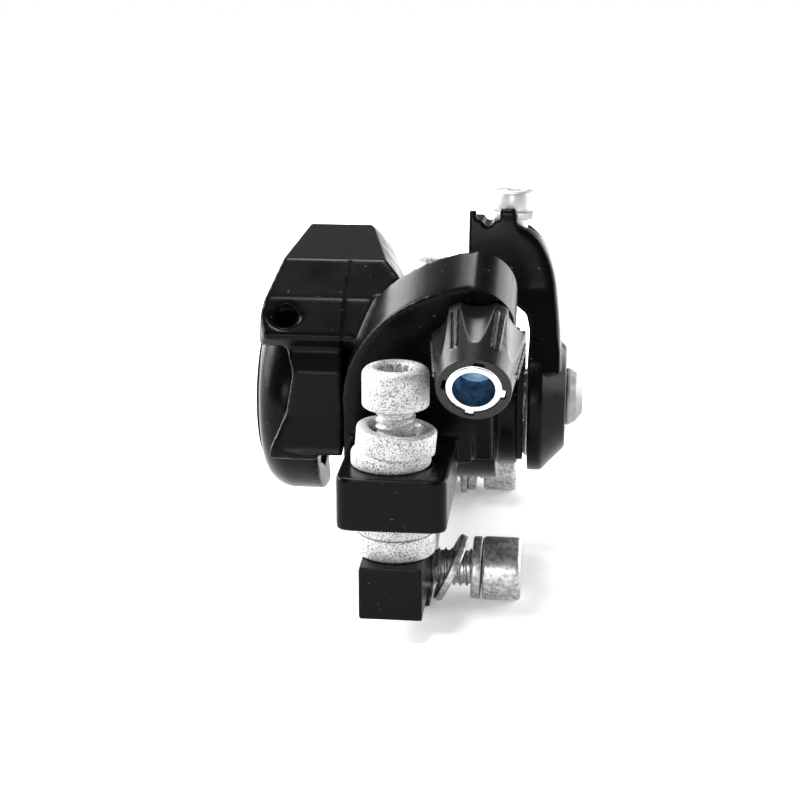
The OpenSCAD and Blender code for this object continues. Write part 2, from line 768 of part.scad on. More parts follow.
module thrust_bearing() {
    color(STEEL) at_axis() pipe(wall_x0 - bearing_t, wall_x0, cam_r, shaft_r + 0.15);
}

// A ramp pocket: the path of a ball over half the arm's turn, rising by half the travel
module ramp_pocket(turn, lift) {
    r = ramp_ball_r + 0.12;
    chord = 2 * ramp_circle_r * sin(turn / 2);
    slope = atan2(lift, chord);
    for (a = [0, turn]) rotate([a, 0, 0])
        translate([a == 0 ? 0 : lift, 0, ramp_circle_r]) sphere(r = r + 0.04);
    translate([0, 0, ramp_circle_r]) rotate([90 + turn / 2, 0, 0]) rotate([0, slope, 0])
        cylinder(h = norm([chord, lift]), r = r);
}

// Pockets turn with the arm on the drive cam and stay still on the pressure cam
module ramp_pockets(turn, lift) {
    for (i = [0 : 2]) rotate([i * 120, 0, 0]) translate([ball_x, 0, 0]) ramp_pocket(turn, lift);
}

module drive_cam() {
    color(STEEL) at_axis() difference() {
        union() {
            rod(drive_x0, drive_x1, cam_r);
            rod(drive_x1 - 1, hub_x0 - run, shaft_r);
            rotate([-arm_lean, 0, 0])
                box(hub_x0 - 1, 19, -drive_af / 2, drive_af / 2, -drive_af / 2, drive_af / 2);
        }
        translate([2 * ball_x, 0, 0]) rotate([0, 0, 180])
            ramp_pockets(arm_travel / 2, piston_travel / 2);
        rod(hub_x1 - 10, 30, 2.55);
    }
}

module pressure_cam() {
    color(STEEL) at_axis() difference() {
        union() {
            rod(press_x0, press_x1, cam_r);
            box(press_x0, press_x0 + 2.5, -1.5, 1.5, cam_r - 1, bore_r + 1);
        }
        ramp_pockets(arm_travel / 2, piston_travel / 2);
    }
}

module ramp_balls() {
    color(ZINC) at_axis() for (i = [0 : 2])
        rotate([i * 120, 0, 0]) translate([ball_x, 0, ramp_circle_r]) sphere(r = ramp_ball_r);
}

module ball_cage() {
    color([0.75, 0.7, 0.6]) at_axis() difference() {
        pipe(ball_x - 0.35, ball_x + 0.35, cam_r - 0.2, 2.4);
        for (i = [0 : 2], a = [0, arm_travel / 4, arm_travel / 2])
            rotate([i * 120 + a, 0, 0])
                rod(ball_x - 1, ball_x + 1, ramp_ball_r + 0.15, 0, ramp_circle_r);
    }
}

module pressure_foot() {
    color(STEEL) at_axis() rod(out_foot, press_x0, bore_r - run);
}

// A backing plate with the tab that it is pulled out by
module backing(x) {
    at_pads() union() {
        sweep_x(x, x + backing_t, pad_points(0));
        box(x, x + backing_t, -tab_half, tab_half, -14.5, 0);
    }
}

module friction(x) {
    half = pad_half - 2.2;
    at_pads() sweep_x(x, x + friction_t, both_sides([
        [half - 2, friction_half_h], [half, friction_half_h - 2],
        [half, 2 - friction_half_h], [half - 2, -friction_half_h]]));
}

module outboard_backing_plate() { color(STEEL) backing(out_back); }
module outboard_friction_block() { color([0.25, 0.22, 0.2]) friction(out_face); }
module inboard_backing_plate() { color(STEEL) backing(in_foot); }
module inboard_friction_block() { color([0.25, 0.22, 0.2]) friction(in_back); }

// A bent strip that spreads the pads, between their backing plates
module pad_spring() {
    t = 0.4;
    top = spring_top;
    color(STEEL) at_pads() union() {
        for (side = [-1, 1]) {
            y0 = side > 0 ? pad_half - 1.9 : -pad_half + 0.3;
            box(in_back + run, in_back + run + t, y0, y0 + 1.6, -4, top);
            box(out_back - run - t, out_back - run, y0, y0 + 1.6, -4, top);
            box(in_back + run, out_back - run, y0, y0 + 1.6, top - t, top);
        }
        box(rotor_x - 1.5, rotor_x + 1.5, -pad_half + 0.3, pad_half - 0.3, top - t, top);
    }
}

module adjuster_screw() {
    color(STEEL) at_axis() union() {
        rod(foot_x0, in_foot, cavity_r - 0.2);
        rod(dial_x0 + 1.3, foot_x0 + 0.5, stem_r);
    }
}

module adjuster_dial() {
    scallops = 12;
    groove_x = (cap_x + cavity_x) / 2;
    color(PLASTIC) at_axis() difference() {
        union() {
            rod(dial_x0, dial_x1, dial_r);
            rod(dial_x1 - 0.5, hub_end_x, dial_hub_r);
        }
        for (i = [0 : scallops - 1])
            rotate([(i + 0.5) * 360 / scallops, 0, 0])
                rod(dial_x0 - 1, dial_x1 + 1, 2.2, 0, dial_r + 1.6);
        rod(dial_x0 + 1.1, 0, stem_r + run);
        // Grooves of the clip and the O-ring
        pipe(hub_end_x - 0.75, hub_end_x - 0.25, dial_hub_r + 1, dial_hub_r - 0.8);
        pipe(groove_x - 0.65, groove_x + 0.65, dial_hub_r + 1, dial_hub_r - 1.1);
        // Recess for the fingers
        rod(dial_x0 - 1, dial_x0 + 0.5, 11);
    }
}

module dial_clip() {
    color(STEEL) at_axis() difference() {
        pipe(hub_end_x - 0.72, hub_end_x - 0.28, cavity_r - 0.3, dial_hub_r - 0.75);
        box(-40, 0, -2, 2, 0, 20);
    }
}

module dial_o_ring() {
    groove_x = (cap_x + cavity_x) / 2;
    color([0.05, 0.05, 0.05]) at_axis() translate([groove_x, 0, 0]) rotate([0, 90, 0])
        rotate_extrude() translate([dial_hub_r - 0.53, 0]) circle(r = 0.55, $fn = 24);
}

module front_housing_bolt() { housing_bolt(-1); }
module rear_housing_bolt() { housing_bolt(1); }
module front_mount_bolt() { mount_bolt(-1); }
module rear_mount_bolt() { mount_bolt(1); }
module front_upper_cup_washer() { upper_cup_washer(-1); }
module rear_upper_cup_washer() { upper_cup_washer(1); }
module front_upper_cone_washer() { upper_cone_washer(-1); }
module rear_upper_cone_washer() { upper_cone_washer(1); }
module front_lower_cone_washer() { lower_cone_washer(-1); }
module rear_lower_cone_washer() { lower_cone_washer(1); }
module front_lower_cup_washer() { lower_cup_washer(-1); }
module rear_lower_cup_washer() { lower_cup_washer(1); }
module front_frame_bolt() { frame_bolt(-1); }
module rear_frame_bolt() { frame_bolt(1); }
module front_thin_washer() { thin_washer(-1); }
module rear_thin_washer() { thin_washer(1); }
module front_thick_washer() { thick_washer(-1); }
module rear_thick_washer() { thick_washer(1); }

adapter_bracket();
outboard_housing();
inboard_housing();
front_housing_bolt();
rear_housing_bolt();
front_mount_bolt();
rear_mount_bolt();
front_upper_cup_washer();
rear_upper_cup_washer();
front_upper_cone_washer();
rear_upper_cone_washer();
front_lower_cone_washer();
rear_lower_cone_washer();
front_lower_cup_washer();
rear_lower_cup_washer();
front_frame_bolt();
rear_frame_bolt();
front_thin_washer();
rear_thin_washer();
front_thick_washer();
rear_thick_washer();
barrel_knob();
barrel_screw();
barrel_seal();
actuating_arm();
arm_pivot_bolt();
cable_clamp_plate();
cable_clamp_bolt();
return_spring();
dust_seal();
thrust_bearing();
drive_cam();
ramp_balls();
ball_cage();
pressure_cam();
pressure_foot();
outboard_backing_plate();
outboard_friction_block();
inboard_backing_plate();
inboard_friction_block();
pad_spring();
adjuster_screw();
adjuster_dial();
dial_clip();
dial_o_ring();
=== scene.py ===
import json
import math

import bpy
from mathutils import Matrix, Vector

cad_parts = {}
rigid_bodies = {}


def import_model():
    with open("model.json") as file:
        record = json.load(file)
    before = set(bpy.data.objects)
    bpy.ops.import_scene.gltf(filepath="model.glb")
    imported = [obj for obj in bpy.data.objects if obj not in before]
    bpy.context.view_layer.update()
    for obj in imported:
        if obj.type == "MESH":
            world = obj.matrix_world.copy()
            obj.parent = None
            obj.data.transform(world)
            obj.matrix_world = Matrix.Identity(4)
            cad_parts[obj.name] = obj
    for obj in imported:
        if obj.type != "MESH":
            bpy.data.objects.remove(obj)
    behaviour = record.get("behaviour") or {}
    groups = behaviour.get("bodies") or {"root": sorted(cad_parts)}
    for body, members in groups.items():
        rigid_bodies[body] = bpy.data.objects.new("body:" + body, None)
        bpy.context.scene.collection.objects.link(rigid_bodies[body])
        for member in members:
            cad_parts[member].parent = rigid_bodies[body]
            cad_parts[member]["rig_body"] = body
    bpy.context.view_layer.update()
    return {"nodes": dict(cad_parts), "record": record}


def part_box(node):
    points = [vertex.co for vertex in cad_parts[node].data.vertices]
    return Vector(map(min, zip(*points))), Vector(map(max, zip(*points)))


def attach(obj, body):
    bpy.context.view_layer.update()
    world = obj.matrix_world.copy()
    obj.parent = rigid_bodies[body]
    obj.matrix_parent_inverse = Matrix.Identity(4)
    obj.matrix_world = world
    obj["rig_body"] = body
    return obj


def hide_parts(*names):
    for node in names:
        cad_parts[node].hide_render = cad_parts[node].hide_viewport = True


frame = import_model()


# Camera: it stands at the cable end of the caliper, a little above it and a little to the
# lever side, and looks along the line of the two mount bolts.
camera_spot = Vector((0.0202, -0.2750, 0.1032))
camera_aim = Vector((-0.00783, 0.0, 0.0195))
bpy.ops.object.camera_add(location=camera_spot)
camera = bpy.context.object
camera.name = "photo_camera"
camera.rotation_euler = (camera_aim - camera_spot).to_track_quat("-Z", "Y").to_euler()
camera.data.sensor_width = 36
camera.data.lens = 76.5
camera.data.clip_start = 0.01
bpy.context.scene.camera = camera


# Floor and light: the bracket stands on a bright white sweep, which also shows in its gloss.
# Compact lamps near the camera and overhead draw the edges; soft panels stand at both sides.
floor_z = -0.005
bpy.ops.mesh.primitive_plane_add(size=2.4, location=(0, 0, floor_z))
floor = bpy.context.object
floor.name = "white_floor"
floor_paint = bpy.data.materials.new("floor_white")
floor_paint.use_nodes = True
nodes = floor_paint.node_tree.nodes
links = floor_paint.node_tree.links
nodes.clear()
diffuse = nodes.new("ShaderNodeBsdfDiffuse")
diffuse.inputs["Color"].default_value = (0.86, 0.855, 0.86, 1)
glow = nodes.new("ShaderNodeEmission")
glow.inputs["Color"].default_value = (1, 1, 1, 1)
# The glow grows away from the object, where less of the lamps' light arrives
floor_place = nodes.new("ShaderNodeTexCoord")
away = nodes.new("ShaderNodeVectorMath")
away.operation = "LENGTH"
glow_range = nodes.new("ShaderNodeMapRange")
glow_range.inputs["From Min"].default_value = 0.08
glow_range.inputs["From Max"].default_value = 0.6
glow_range.inputs["To Min"].default_value = 0.3
glow_range.inputs["To Max"].default_value = 1.0
links.new(floor_place.outputs["Object"], away.inputs[0])
links.new(away.outputs["Value"], glow_range.inputs["Value"])
rays = nodes.new("ShaderNodeLightPath")
# The studio in front of the object is dark, so its gloss shows less of the floor there
floor_axes = nodes.new("ShaderNodeSeparateXYZ")
front_range = nodes.new("ShaderNodeMapRange")
front_range.inputs["From Min"].default_value = -0.3
front_range.inputs["From Max"].default_value = 0.02
front_range.inputs["To Min"].default_value = 0.1
front_range.inputs["To Max"].default_value = 1.0
shown = nodes.new("ShaderNodeMath")
shown.operation = "MAXIMUM"
strength = nodes.new("ShaderNodeMath")
strength.operation = "MULTIPLY"
links.new(floor_place.outputs["Object"], floor_axes.inputs[0])
links.new(floor_axes.outputs["Y"], front_range.inputs["Value"])
links.new(rays.outputs["Is Camera Ray"], shown.inputs[0])
links.new(front_range.outputs["Result"], shown.inputs[1])
links.new(glow_range.outputs["Result"], strength.inputs[0])
links.new(shown.outputs[0], strength.inputs[1])
links.new(strength.outputs[0], glow.inputs["Strength"])
seen_rays = nodes.new("ShaderNodeMath")
seen_rays.operation = "MAXIMUM"
both = nodes.new("ShaderNodeAddShader")
chosen = nodes.new("ShaderNodeMixShader")
surface = nodes.new("ShaderNodeOutputMaterial")
links.new(diffuse.outputs[0], both.inputs[0])
links.new(glow.outputs[0], both.inputs[1])
links.new(rays.outputs["Is Camera Ray"], seen_rays.inputs[0])
links.new(rays.outputs["Is Glossy Ray"], seen_rays.inputs[1])
links.new(seen_rays.outputs[0], chosen.inputs[0])
links.new(diffuse.outputs[0], chosen.inputs[1])
links.new(both.outputs[0], chosen.inputs[2])
links.new(chosen.outputs[0], surface.inputs["Surface"])
floor.data.materials.append(floor_paint)

lamps = [
    ("camera_lamp", (-0.12, -0.92, 0.21), 0.22, 2.0),
    ("front_top_lamp", (-0.08, -0.24, 0.78), 0.09, 3.0),
    ("back_top_lamp", (-0.08, 0.46, 0.68), 0.26, 3.0),
    ("left_back_panel", (-0.58, 0.66, 0.2), 0.6, 9.0),
    ("right_back_panel", (0.62, 0.62, 0.24), 0.55, 6.0),
    ("left_panel", (-0.85, 0.05, 0.3), 0.5, 9.0),
    ("left_top_lamp", (-0.62, 0.12, 0.5), 0.3, 6.0),
    ("right_panel", (0.85, 0.05, 0.3), 0.45, 5.0),
]
for lamp_name, spot, size, power in lamps:
    bpy.ops.object.light_add(type="AREA", location=spot)
    lamp = bpy.context.object
    lamp.name = lamp_name
    lamp.data.size = size
    lamp.data.energy = power
    lamp.rotation_euler = (Vector((0, 0, 0.02)) - Vector(spot)).to_track_quat("-Z", "Y").to_euler()

world = bpy.data.worlds.new("studio")
bpy.context.scene.world = world
world.use_nodes = True
sky_nodes = world.node_tree.nodes
sky_links = world.node_tree.links
sky_nodes.clear()
seen = sky_nodes.new("ShaderNodeBackground")
seen.inputs["Color"].default_value = (1, 1, 1, 1)
dim = sky_nodes.new("ShaderNodeBackground")
dim.inputs["Color"].default_value = (0.97, 0.98, 1, 1)
dim.inputs["Strength"].default_value = 0.15
sky_rays = sky_nodes.new("ShaderNodeLightPath")
sky_mix = sky_nodes.new("ShaderNodeMixShader")
sky_out = sky_nodes.new("ShaderNodeOutputWorld")
sky_links.new(sky_rays.outputs["Is Camera Ray"], sky_mix.inputs[0])
sky_links.new(dim.outputs[0], sky_mix.inputs[1])
sky_links.new(seen.outputs[0], sky_mix.inputs[2])
sky_links.new(sky_mix.outputs[0], sky_out.inputs["Surface"])
bpy.context.scene.view_settings.view_transform = "Standard"


# Castings: both housings and the lever are pressure-cast aluminium with a satin black coat.
# Their edges are softly rounded, and the coat has a fine orange-peel texture and dust specks.
def start_material(name, roughness, metallic):
    """A new material with its Principled shader, and a Texture Coordinate in object space."""
    made = bpy.data.materials.new(name)
    made.use_nodes = True
    shader = made.node_tree.nodes["Principled BSDF"]
    shader.inputs["Roughness"].default_value = roughness
    shader.inputs["Metallic"].default_value = metallic
    place = made.node_tree.nodes.new("ShaderNodeTexCoord")
    return made, shader, place


def add_noise(made, place, scale, detail=4.0, stretch=(1, 1, 1)):
    """Noise on the piece's own coordinates, scale in features per metre."""
    tree = made.node_tree
    mapping = tree.nodes.new("ShaderNodeMapping")
    mapping.inputs["Scale"].default_value = stretch
    noise = tree.nodes.new("ShaderNodeTexNoise")
    noise.inputs["Scale"].default_value = scale
    noise.inputs["Detail"].default_value = detail
    tree.links.new(place.outputs["Object"], mapping.inputs["Vector"])
    tree.links.new(mapping.outputs["Vector"], noise.inputs["Vector"])
    return noise


def add_ramp(made, noise, stops):
    """A colour ramp over a noise; stops are (position, colour)."""
    ramp = made.node_tree.nodes.new("ShaderNodeValToRGB")
    first, second = stops[0], stops[1]
    ramp.color_ramp.elements[0].position = first[0]
    ramp.color_ramp.elements[0].color = (*first[1], 1)
    ramp.color_ramp.elements[1].position = second[0]
    ramp.color_ramp.elements[1].color = (*second[1], 1)
    for position, colour in stops[2:]:
        ramp.color_ramp.elements.new(position).color = (*colour, 1)
    made.node_tree.links.new(noise.outputs["Fac"], ramp.inputs["Fac"])
    return ramp


def add_bump(made, shader, height, strength, distance):
    """Surface relief from a height output."""
    bump = made.node_tree.nodes.new("ShaderNodeBump")
    bump.inputs["Strength"].default_value = strength
    bump.inputs["Distance"].default_value = distance
    made.node_tree.links.new(height, bump.inputs["Height"])
    made.node_tree.links.new(bump.outputs["Normal"], shader.inputs["Normal"])
    return bump


def range_of(made, source, low, high):
    """Maps a 0 to 1 output to low to high."""
    spread = made.node_tree.nodes.new("ShaderNodeMapRange")
    spread.inputs["From Min"].default_value = 0.3
    spread.inputs["From Max"].default_value = 0.7
    spread.inputs["To Min"].default_value = low
    spread.inputs["To Max"].default_value = high
    made.node_tree.links.new(source, spread.inputs["Value"])
    return spread


def painted(name, colour, rough_low, rough_high, peel, shine=0.08):
    """Black paint: even colour with sparse dust, a wandering gloss and orange peel."""
    made, shader, place = start_material(name, rough_low, 0.0)
    shader.inputs["Specular IOR Level"].default_value = shine
    dust = add_noise(made, place, 1500, 2)
    tint = add_ramp(made, dust, [(0.0, colour), (0.72, colour), (0.80, (0.10, 0.095, 0.09))])
    gloss = add_noise(made, place, 130, 5)
    spread = range_of(made, gloss.outputs["Fac"], rough_low, rough_high)
    skin_noise = add_noise(made, place, 1100, 3)
    made.node_tree.links.new(tint.outputs["Color"], shader.inputs["Base Color"])
    made.node_tree.links.new(spread.outputs["Result"], shader.inputs["Roughness"])
    add_bump(made, shader, skin_noise.outputs["Fac"], peel, 0.00006)
    return made


satin_black = painted("satin_black_coat", (0.0026, 0.0022, 0.0025), 0.21, 0.31, 0.16)


def copy_of(node, name):
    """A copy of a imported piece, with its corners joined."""
    piece = bpy.data.objects.new(name, frame["nodes"][node].data.copy())
    bpy.context.scene.collection.objects.link(piece)
    piece.data.materials.clear()
    bpy.ops.object.select_all(action="DESELECT")
    piece.select_set(True)
    bpy.context.view_layer.objects.active = piece
    bpy.ops.object.mode_set(mode="EDIT")
    bpy.ops.mesh.select_all(action="SELECT")
    bpy.ops.mesh.remove_doubles(threshold=0.000004)
    bpy.ops.object.mode_set(mode="OBJECT")
    return piece


def apply_all(piece):
    """Applies every modifier of a piece, in order."""
    bpy.ops.object.select_all(action="DESELECT")
    piece.select_set(True)
    bpy.context.view_layer.objects.active = piece
    for modifier in list(piece.modifiers):
        bpy.ops.object.modifier_apply(modifier=modifier.name)


def seat(piece, node, material):
    """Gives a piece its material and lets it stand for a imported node, on that node's body."""
    piece.data.materials.clear()
    piece.data.materials.append(material)
    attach(piece, frame["nodes"][node]["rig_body"])
    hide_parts(node)


def round_outer(piece, passes):
    """Smooths the lever's outer side more than the rest, which makes its edge a broad round."""
    for modifier in list(piece.modifiers):
        bpy.ops.object.select_all(action="DESELECT")
        piece.select_set(True)
        bpy.context.view_layer.objects.active = piece
        bpy.ops.object.modifier_apply(modifier=modifier.name)
    band = piece.vertex_groups.new(name="outer_side")
    for point in piece.data.vertices:
        depth = point.co.x - (0.0150 - (point.co.z - 0.035) * 0.23)
        if point.co.z > 0.031 and depth > 0:
            band.add([point.index], min(1, depth / 0.001, (point.co.z - 0.031) / 0.002), "REPLACE")
    broad = piece.modifiers.new("broad", "SMOOTH")
    broad.vertex_group = "outer_side"
    broad.factor = 0.5
    broad.iterations = passes


def cast(node, name, grain, softness, keep, material, before=None, after=None,
         outer_band=0):
    """A cast piece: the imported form, adjusted, then with all its edges rounded by an even skin."""
    piece = copy_of(node, name)
    if before:
        for point in piece.data.vertices:
            point.co = before(point.co)
    skin = piece.modifiers.new("skin", "REMESH")
    skin.mode = "VOXEL"
    skin.voxel_size = grain
    round_off = piece.modifiers.new("round_off", "SMOOTH")
    round_off.factor = 0.5
    round_off.iterations = softness
    if outer_band:
        round_outer(piece, outer_band)
    if keep < 1:
        thin = piece.modifiers.new("thin", "DECIMATE")
        thin.ratio = keep
    apply_all(piece)
    if after:
        for point in piece.data.vertices:
            point.co = after(point.co)
    bpy.ops.object.shade_smooth()
    seat(piece, node, material)
    return piece


def tuck(across, up, centre, radius):
    """Draws a point that lies beyond a round corner back on to it."""
    away_across, away_up = across - centre[0], up - centre[1]
    reach = math.hypot(away_across, away_up)
    if away_across < 0 or away_up < 0 or reach < radius:
        return across, up
    return centre[0] + away_across * radius / reach, centre[1] + away_up * radius / reach


axis_z = 0.021
seam_x = -0.0142
slot_roof_z = 0.0362
seam_run = 0.0005
boss_low_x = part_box("inboard_housing")[0].x
boss_r = 0.0167
boss_fillet = 0.005
knob_spot = Vector((0.0071, -0.043, 0.0344))
barrel_in = Vector((0, 0.930418, 0.366501))
barrel_up = Vector((0, -0.366501, 0.930418))
stop_front = 0.0122
stop_back = 0.0234


def close_seam(point, shift):
    """The faces of the seam run into each other, so that only a hairline stays between them."""
    if abs(point.x - seam_x) < 0.00003 and point.z > slot_roof_z:
        return Vector((point.x + shift, point.y, point.z))
    return point


def inboard_form(point):
    """Closes the seam, fills the recess to a narrow dial and stands the rib's foot upright."""
    point = close_seam(point.copy(), seam_run)
    side = math.copysign(1, point.y)
    rise = point.z - axis_z
    reach = math.hypot(point.y, rise)
    if point.x < boss_low_x + 0.0018 and abs(reach - 0.0152) < 0.00006:
        return Vector((point.x, point.y * 0.0112 / reach, axis_z + rise * 0.0112 / reach))
    if abs(rise + 0.0027) < 0.00012 and abs(abs(point.y) - 0.026) < 0.0002:
        point.y -= side * 0.0013
    if abs(rise + 0.0044) < 0.00012 and abs(abs(point.y) - 0.025) < 0.0002:
        point.y -= side * 0.0005
    return point


def round_boss(point):
    """The free end of the boss is a large round."""
    reach = math.hypot(point.y, point.z - axis_z)
    depth = boss_low_x + boss_fillet - point.x
    if depth < 0 or reach < boss_r - boss_fillet or reach > boss_r + 0.001:
        return point
    new_r, new_depth = tuck(reach, depth, (boss_r - boss_fillet, 0), boss_fillet)
    return Vector((boss_low_x + boss_fillet - new_depth, point.y * new_r / reach,
                   axis_z + (point.z - axis_z) * new_r / reach))


def outboard_form(point):
    """Closes the seam."""
    return close_seam(point.copy(), -seam_run)


def round_hood(point):
    """The cable stop's top corner on the arm's side is a large round."""
    offset = point - knob_spot
    inward, up = offset.dot(barrel_in), offset.dot(barrel_up)
    if inward < stop_front or inward > stop_back:
        return point
    new_x, new_up = tuck(point.x, up, (0.0054, 0.0018), 0.007)
    return Vector((new_x, 0, 0)) + Vector((0, knob_spot.y, knob_spot.z)) \
        + barrel_in * inward + barrel_up * new_up


cast("outboard_housing", "outboard_casting", 0.00036, 9, 0.55, satin_black,
     outboard_form, round_hood)
cast("inboard_housing", "inboard_casting", 0.00036, 9, 0.6, satin_black,
     inboard_form, round_boss)
cast("actuating_arm", "lever_casting", 0.00025, 11, 0.6, satin_black, outer_band=90)


# Bracket: a machined bar with a thicker, glossier black coat, which pools round its edges.
gloss_black = painted("gloss_black_coat", (0.0026, 0.0023, 0.003), 0.16, 0.25, 0.10)
cast("adapter_bracket", "bracket_bar", 0.0003, 7, 0.5, gloss_black)


# Mount bolts and ball washers: steel with a thick light zinc coat, matt and full of fine dark
# pits. The heads have a splined socket, and the thread shows under the loose front head.
def speckled(name, light, dark, pits, cover):
    """Zinc coat: light grey with dark pits and a grainy surface."""
    made, shader, place = start_material(name, 0.5, 0.35)
    fine = add_noise(made, place, pits, 3)
    tint = add_ramp(made, fine, [(0.0, dark), (cover, dark), (cover + 0.07, light), (1.0, light)])
    clouds = add_noise(made, place, 420, 3)
    shade = add_ramp(made, clouds, [(0.3, (0.72, 0.72, 0.72)), (0.7, (1, 1, 1))])
    mix = made.node_tree.nodes.new("ShaderNodeMix")
    mix.data_type = "RGBA"
    mix.blend_type = "MULTIPLY"
    mix.inputs["Factor"].default_value = 1
    made.node_tree.links.new(tint.outputs["Color"], mix.inputs["A"])
    made.node_tree.links.new(shade.outputs["Color"], mix.inputs["B"])
    made.node_tree.links.new(mix.outputs["Result"], shader.inputs["Base Color"])
    add_bump(made, shader, fine.outputs["Fac"], 0.5, 0.00012)
    return made


zinc_coat = speckled("speckled_zinc", (0.72, 0.71, 0.70), (0.2, 0.19, 0.185), 4300, 0.41)
zinc_worn = speckled("pitted_zinc", (0.46, 0.45, 0.44), (0.06, 0.055, 0.055), 3000, 0.47)
post_x = -0.0047
post_y = 0.037


def rounded(node, name, width, segments, material):
    """A turned piece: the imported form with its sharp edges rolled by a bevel."""
    piece = copy_of(node, name)
    bpy.ops.object.mode_set(mode="EDIT")
    bpy.ops.mesh.select_all(action="SELECT")
    bpy.ops.mesh.dissolve_limited(angle_limit=math.radians(0.5))
    bpy.ops.object.mode_set(mode="OBJECT")
    edge = piece.modifiers.new("edge", "BEVEL")
    edge.width = width
    edge.segments = segments
    edge.limit_method = "ANGLE"
    edge.angle_limit = math.radians(35)
    edge.use_clamp_overlap = True
    apply_all(piece)
    bpy.ops.object.shade_smooth_by_angle(angle=math.radians(40))
    seat(piece, node, material)
    return piece


for end in ("front", "rear"):
    for level in ("upper", "lower"):
        rounded(f"{end}_{level}_cup_washer", f"{end}_{level}_dished_washer",
                0.00035, 3, zinc_coat)
        rounded(f"{end}_{level}_cone_washer", f"{end}_{level}_domed_washer",
                0.00035, 3, zinc_coat)


def spin_profile(name, points, steps):
    """A turned solid: an outline of (radius, height) points, extruded point by point, then spun."""
    bpy.ops.object.select_all(action="DESELECT")
    bpy.ops.mesh.primitive_plane_add(size=0.001)
    piece = bpy.context.object
    piece.name = name
    bpy.ops.object.mode_set(mode="EDIT")
    bpy.ops.mesh.select_all(action="SELECT")
    bpy.ops.mesh.merge(type="CENTER")
    bpy.ops.transform.translate(value=(points[0][0], 0, points[0][1]))
    for here, there in zip(points, points[1:]):
        step = (there[0] - here[0], 0, there[1] - here[1])
        bpy.ops.mesh.extrude_region_move(TRANSFORM_OT_translate={"value": step})
    bpy.ops.mesh.select_all(action="SELECT")
    bpy.ops.mesh.spin(steps=steps, angle=math.tau, center=(0, 0, 0), axis=(0, 0, 1))
    bpy.ops.mesh.select_all(action="SELECT")
    bpy.ops.mesh.remove_doubles(threshold=0.000002)
    bpy.ops.mesh.normals_make_consistent(inside=False)
    bpy.ops.object.mode_set(mode="OBJECT")
    return piece


def screw_thread(name, radius, depth, pitch, turns):
    """A helical thread along +Z from the origin: one tooth's outline, wound by a screw."""
    bpy.ops.object.select_all(action="DESELECT")
    bpy.ops.mesh.primitive_plane_add(size=0.001)
    piece = bpy.context.object
    piece.name = name
    bpy.ops.object.mode_set(mode="EDIT")
    bpy.ops.mesh.select_all(action="SELECT")
    bpy.ops.mesh.merge(type="CENTER")
    bpy.ops.transform.translate(value=(radius - depth, 0, 0))
    tooth = [(0, 0.12), (0.35, 0.12), (0.65, 0.16), (0, 0.12), (-0.65, 0.16), (-0.35, 0.12), (0, 0.2)]
    for outward, along in tooth:
        bpy.ops.mesh.extrude_region_move(
            TRANSFORM_OT_translate={"value": (outward * depth, 0, along * pitch)})
    bpy.ops.object.mode_set(mode="OBJECT")
    wind = piece.modifiers.new("wind", "SCREW")
    wind.axis = "Z"
    wind.screw_offset = pitch
    wind.iterations = turns
    wind.steps = 40
    wind.render_steps = 40
    wind.use_merge_vertices = True
    wind.merge_threshold = 0.000002
    wind.use_normal_calculate = True
    apply_all(piece)
    bpy.ops.object.mode_set(mode="EDIT")
    bpy.ops.mesh.select_all(action="SELECT")
    bpy.ops.mesh.remove_doubles(threshold=0.000002)
    bpy.ops.mesh.normals_make_consistent(inside=False)
    bpy.ops.object.mode_set(mode="OBJECT")
    return piece


def roll(centre_r, centre_z, radius, start, end, count):
    """Points of a rounded corner, from one angle to another in degrees."""
    turn = [math.radians(start + (end - start) * i / count) for i in range(count + 1)]
    return [(centre_r + radius * math.cos(a), centre_z + radius * math.sin(a)) for a in turn]


def cap_screw(name, length, splines, top_roll, pitch):
    """A socket-head screw: its head stands on z = 0 and its thread hangs below."""
    head_r, head_h, neck_r = 0.005, 0.006, 0.00295
    socket_r, socket_floor = 0.00262, 0.0027
    outline = [(0, 0.0001), (neck_r, 0.0001), (neck_r, 0.0)]
    outline += roll(head_r - 0.0005, 0.0005, 0.0005, -90, 0, 4)
    outline += roll(head_r - top_roll, head_h - top_roll, top_roll, 0, 90, 7)
    outline += [(socket_r + 0.0006, head_h), (socket_r, head_h - 0.0004)]
    outline += [(socket_r, head_h - 0.0012), (socket_r, socket_floor)]
    outline += [(socket_r * 0.55, socket_floor - 0.0005), (0, socket_floor - 0.0009)]
    head = spin_profile(name, outline, splines * 8)
    tooth_deep = 0.00033
    for point in head.data.vertices:
        reach = math.hypot(point.co.x, point.co.y)
        inside = abs(reach - socket_r) < 0.00002 and point.co.z > socket_floor - 0.00001
        if inside and point.co.z < head_h - 0.0008:
            wave = math.cos(math.atan2(point.co.y, point.co.x) * splines)
            pull = (socket_r - tooth_deep * max(-0.2, min(1.0, 1.6 * wave))) / reach
            point.co.x *= pull
            point.co.y *= pull
    turns = int(length / pitch)
    thread = screw_thread(name + "_thread", neck_r + 0.00003, 0.00042, pitch, turns)
    thread.data.transform(Matrix.Rotation(math.pi, 4, "X"))
    tip = spin_profile(name + "_tip", [(0, -length), (neck_r - 0.0006, -length),
                                       (neck_r - 0.00035, -length + 0.0004),
                                       (neck_r - 0.00035, -0.0002), (0, -0.0002)], 48)
    bpy.ops.object.select_all(action="DESELECT")
    for each in (thread, tip, head):
        each.select_set(True)
    bpy.context.view_layer.objects.active = head
    bpy.ops.object.join()
    head.name = name
    bpy.ops.object.shade_smooth_by_angle(angle=math.radians(38))
    return head


